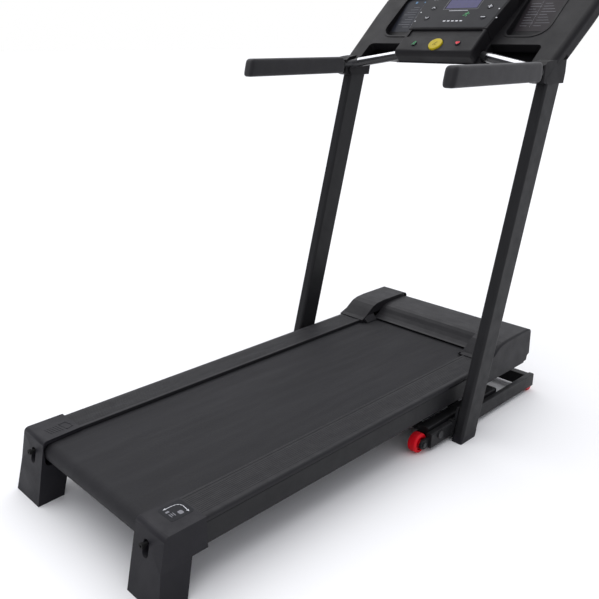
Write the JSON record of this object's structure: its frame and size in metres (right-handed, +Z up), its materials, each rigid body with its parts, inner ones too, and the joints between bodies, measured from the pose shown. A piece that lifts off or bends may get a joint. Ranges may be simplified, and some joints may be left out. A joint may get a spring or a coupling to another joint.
{
  "type": "treadmill",
  "caption": "Folding motorised treadmill with raked uprights, sloping console, long side grips, ribbed foot rails, motor hood and a powered incline base on small wheels.",
  "frame": {"origin": "middle of the footprint on the floor", "axes": "+X to the runner's right, +Y forward towards the motor hood and console, +Z up"},
  "size_m": [0.832, 1.6952, 1.3651],
  "materials": {
    "frame_paint": "satin powder coat",
    "plastic_dark": "fine grain",
    "plastic_gloss": "semi-gloss printed film",
    "belt_pvc": "fine woven-textured PVC",
    "rubber_dark": "matt",
    "foam_grip": "closed-cell foam skin",
    "wheel_red": "moulded",
    "steel": "zinc plated",
    "chrome": "polished",
    "aluminium": "machined",
    "wood": "laminated board with black film",
    "display": "clear window over pale display",
    "board_green": "lacquered",
    "yellow": "moulded",
    "key_green": "moulded",
    "key_red": "moulded"
  },
  "bodies": {
    "base": {"base_beam_left": "frame_paint", "base_beam_right": "frame_paint", "base_cross_tubes": "frame_paint", "upright_left": "frame_paint", "upright_right": "frame_paint", "upright_feet": "plastic_dark", "base_bolts": "steel", "console_frame": "plastic_dark", "console_back": "plastic_dark", "control_panel": "plastic_dark", "key_overlay": "plastic_gloss", "lcd_window": "display", "display_board": "board_green", "console_trays": "plastic_dark", "handlebar_left": "frame_paint", "handlebar_right": "frame_paint", "grip_left": "foam_grip", "grip_right": "foam_grip", "pulse_bars": "chrome", "actuator_body": "steel"},
    "lift_frame": {"lift_arm_left": "frame_paint", "lift_arm_right": "frame_paint", "lift_cross": "frame_paint"},
    "fold_yoke": {"fold_pins": "steel"},
    "start_button": {"start_button": "key_green"},
    "stop_button": {"stop_button": "key_red"},
    "speed_up_key": {"speed_up_key": "plastic_dark"},
    "speed_down_key": {"speed_down_key": "plastic_dark"},
    "incline_up_key": {"incline_up_key": "plastic_dark"},
    "incline_down_key": {"incline_down_key": "plastic_dark"},
    "safety_key": {"safety_key": "yellow"},
    "rear_wheel_left": {"rear_wheel_left": "wheel_red"},
    "rear_wheel_right": {"rear_wheel_right": "wheel_red"},
    "front_wheel_left": {"front_wheel_left": "wheel_red"},
    "front_wheel_right": {"front_wheel_right": "wheel_red"},
    "actuator_rod": {"actuator_rod": "steel"},
    "flywheel": {"flywheel": "steel"},
    "front_roller": {"front_roller": "steel"},
    "rear_roller": {"rear_roller": "steel"},
    "power_switch": {"power_switch": "plastic_dark"},
    "deck": {"belly_pan": "plastic_dark", "deck_cross_tubes": "frame_paint", "deck_cushions": "rubber_dark", "deck_side_left": "frame_paint", "deck_side_right": "frame_paint", "drive_belt": "rubber_dark", "drive_motor": "steel", "foot_rail_left": "plastic_dark", "foot_rail_right": "plastic_dark", "hood_cap_left": "plastic_dark", "hood_cap_right": "plastic_dark", "hood_centre": "plastic_dark", "motor_controller": "aluminium", "power_inlet": "plastic_dark", "rear_cap_left": "plastic_dark", "rear_cap_right": "plastic_dark", "roller_axles": "steel", "running_board": "wood", "tension_bolts": "steel", "walking_belt": "belt_pvc"}
  },
  "joints": [
    {"name": "lift", "type": "hinge", "parent": "base", "child": "lift_frame", "pos_m": [0, 0.1824, 0.045], "axis": [1, 0, 0], "range_deg": [0, 16]},
    {"name": "actuator_stroke", "type": "slide", "parent": "base", "child": "actuator_rod", "axis": [0, -1, 0], "range_m": [0, 0.01253]},
    {"name": "deck_level", "type": "hinge", "parent": "lift_frame", "child": "fold_yoke", "pos_m": [0, 0.6224, 0.165], "axis": [1, 0, 0], "range_deg": [-11.45, 0]},
    {"name": "deck_fold", "type": "hinge", "parent": "fold_yoke", "child": "deck", "pos_m": [0, 0.6224, 0.165], "axis": [-1, 0, 0], "range_deg": [0, 75]},
    {"name": "front_roller_spin", "type": "hinge", "parent": "deck", "child": "front_roller", "pos_m": [0, 0.5524, 0.141], "axis": [1, 0, 0], "continuous": true},
    {"name": "rear_roller_spin", "type": "hinge", "parent": "deck", "child": "rear_roller", "pos_m": [0, -0.7796, 0.141], "axis": [1, 0, 0], "continuous": true},
    {"name": "motor_spin", "type": "hinge", "parent": "deck", "child": "flywheel", "pos_m": [0, 0.6724, 0.165], "axis": [1, 0, 0], "continuous": true},
    {"name": "rear_wheel_right_spin", "type": "hinge", "parent": "base", "child": "rear_wheel_right", "pos_m": [0.318, 0.1144, 0.031], "axis": [1, 0, 0], "continuous": true},
    {"name": "front_wheel_right_spin", "type": "hinge", "parent": "base", "child": "front_wheel_right", "pos_m": [0.344, 0.7394, 0.018], "axis": [1, 0, 0], "continuous": true},
    {"name": "rear_wheel_left_spin", "type": "hinge", "parent": "base", "child": "rear_wheel_left", "pos_m": [-0.318, 0.1144, 0.031], "axis": [1, 0, 0], "continuous": true},
    {"name": "front_wheel_left_spin", "type": "hinge", "parent": "base", "child": "front_wheel_left", "pos_m": [-0.344, 0.7394, 0.018], "axis": [1, 0, 0], "continuous": true},
    {"name": "power_switch_rock", "type": "hinge", "parent": "deck", "child": "power_switch", "pos_m": [0.193, 0.7354, 0.173], "axis": [1, 0, 0], "range_deg": [0, 12]},
    {"name": "start_button_press", "type": "slide", "parent": "base", "child": "start_button", "axis": [0, 0.6428, -0.766], "range_m": [0, 0.0012], "stiffness_N_per_m": 900, "springref_m": -0.0015},
    {"name": "stop_button_press", "type": "slide", "parent": "base", "child": "stop_button", "axis": [0, 0.6428, -0.766], "range_m": [0, 0.0012], "stiffness_N_per_m": 900, "springref_m": -0.0015},
    {"name": "speed_up_key_press", "type": "slide", "parent": "base", "child": "speed_up_key", "axis": [0, 0.6428, -0.766], "range_m": [0, 0.0012], "stiffness_N_per_m": 900, "springref_m": -0.0015},
    {"name": "speed_down_key_press", "type": "slide", "parent": "base", "child": "speed_down_key", "axis": [0, 0.6428, -0.766], "range_m": [0, 0.0012], "stiffness_N_per_m": 900, "springref_m": -0.0015},
    {"name": "incline_up_key_press", "type": "slide", "parent": "base", "child": "incline_up_key", "axis": [0, 0.6428, -0.766], "range_m": [0, 0.0012], "stiffness_N_per_m": 900, "springref_m": -0.0015},
    {"name": "incline_down_key_press", "type": "slide", "parent": "base", "child": "incline_down_key", "axis": [0, 0.6428, -0.766], "range_m": [0, 0.0012], "stiffness_N_per_m": 900, "springref_m": -0.0015},
    {"name": "safety_key_pull", "type": "slide", "parent": "base", "child": "safety_key", "axis": [0, -0.6428, 0.766], "range_m": [0, 0.03]}
  ],
  "couplings": [
    {"joint": "actuator_stroke", "follows": "lift", "m_per_rad": 0.044854},
    {"joint": "deck_level", "follows": "lift", "ratio": -0.7143},
    {"joint": "rear_roller_spin", "follows": "front_roller_spin", "ratio": 1},
    {"joint": "motor_spin", "follows": "front_roller_spin", "ratio": 2.9091}
  ]
}
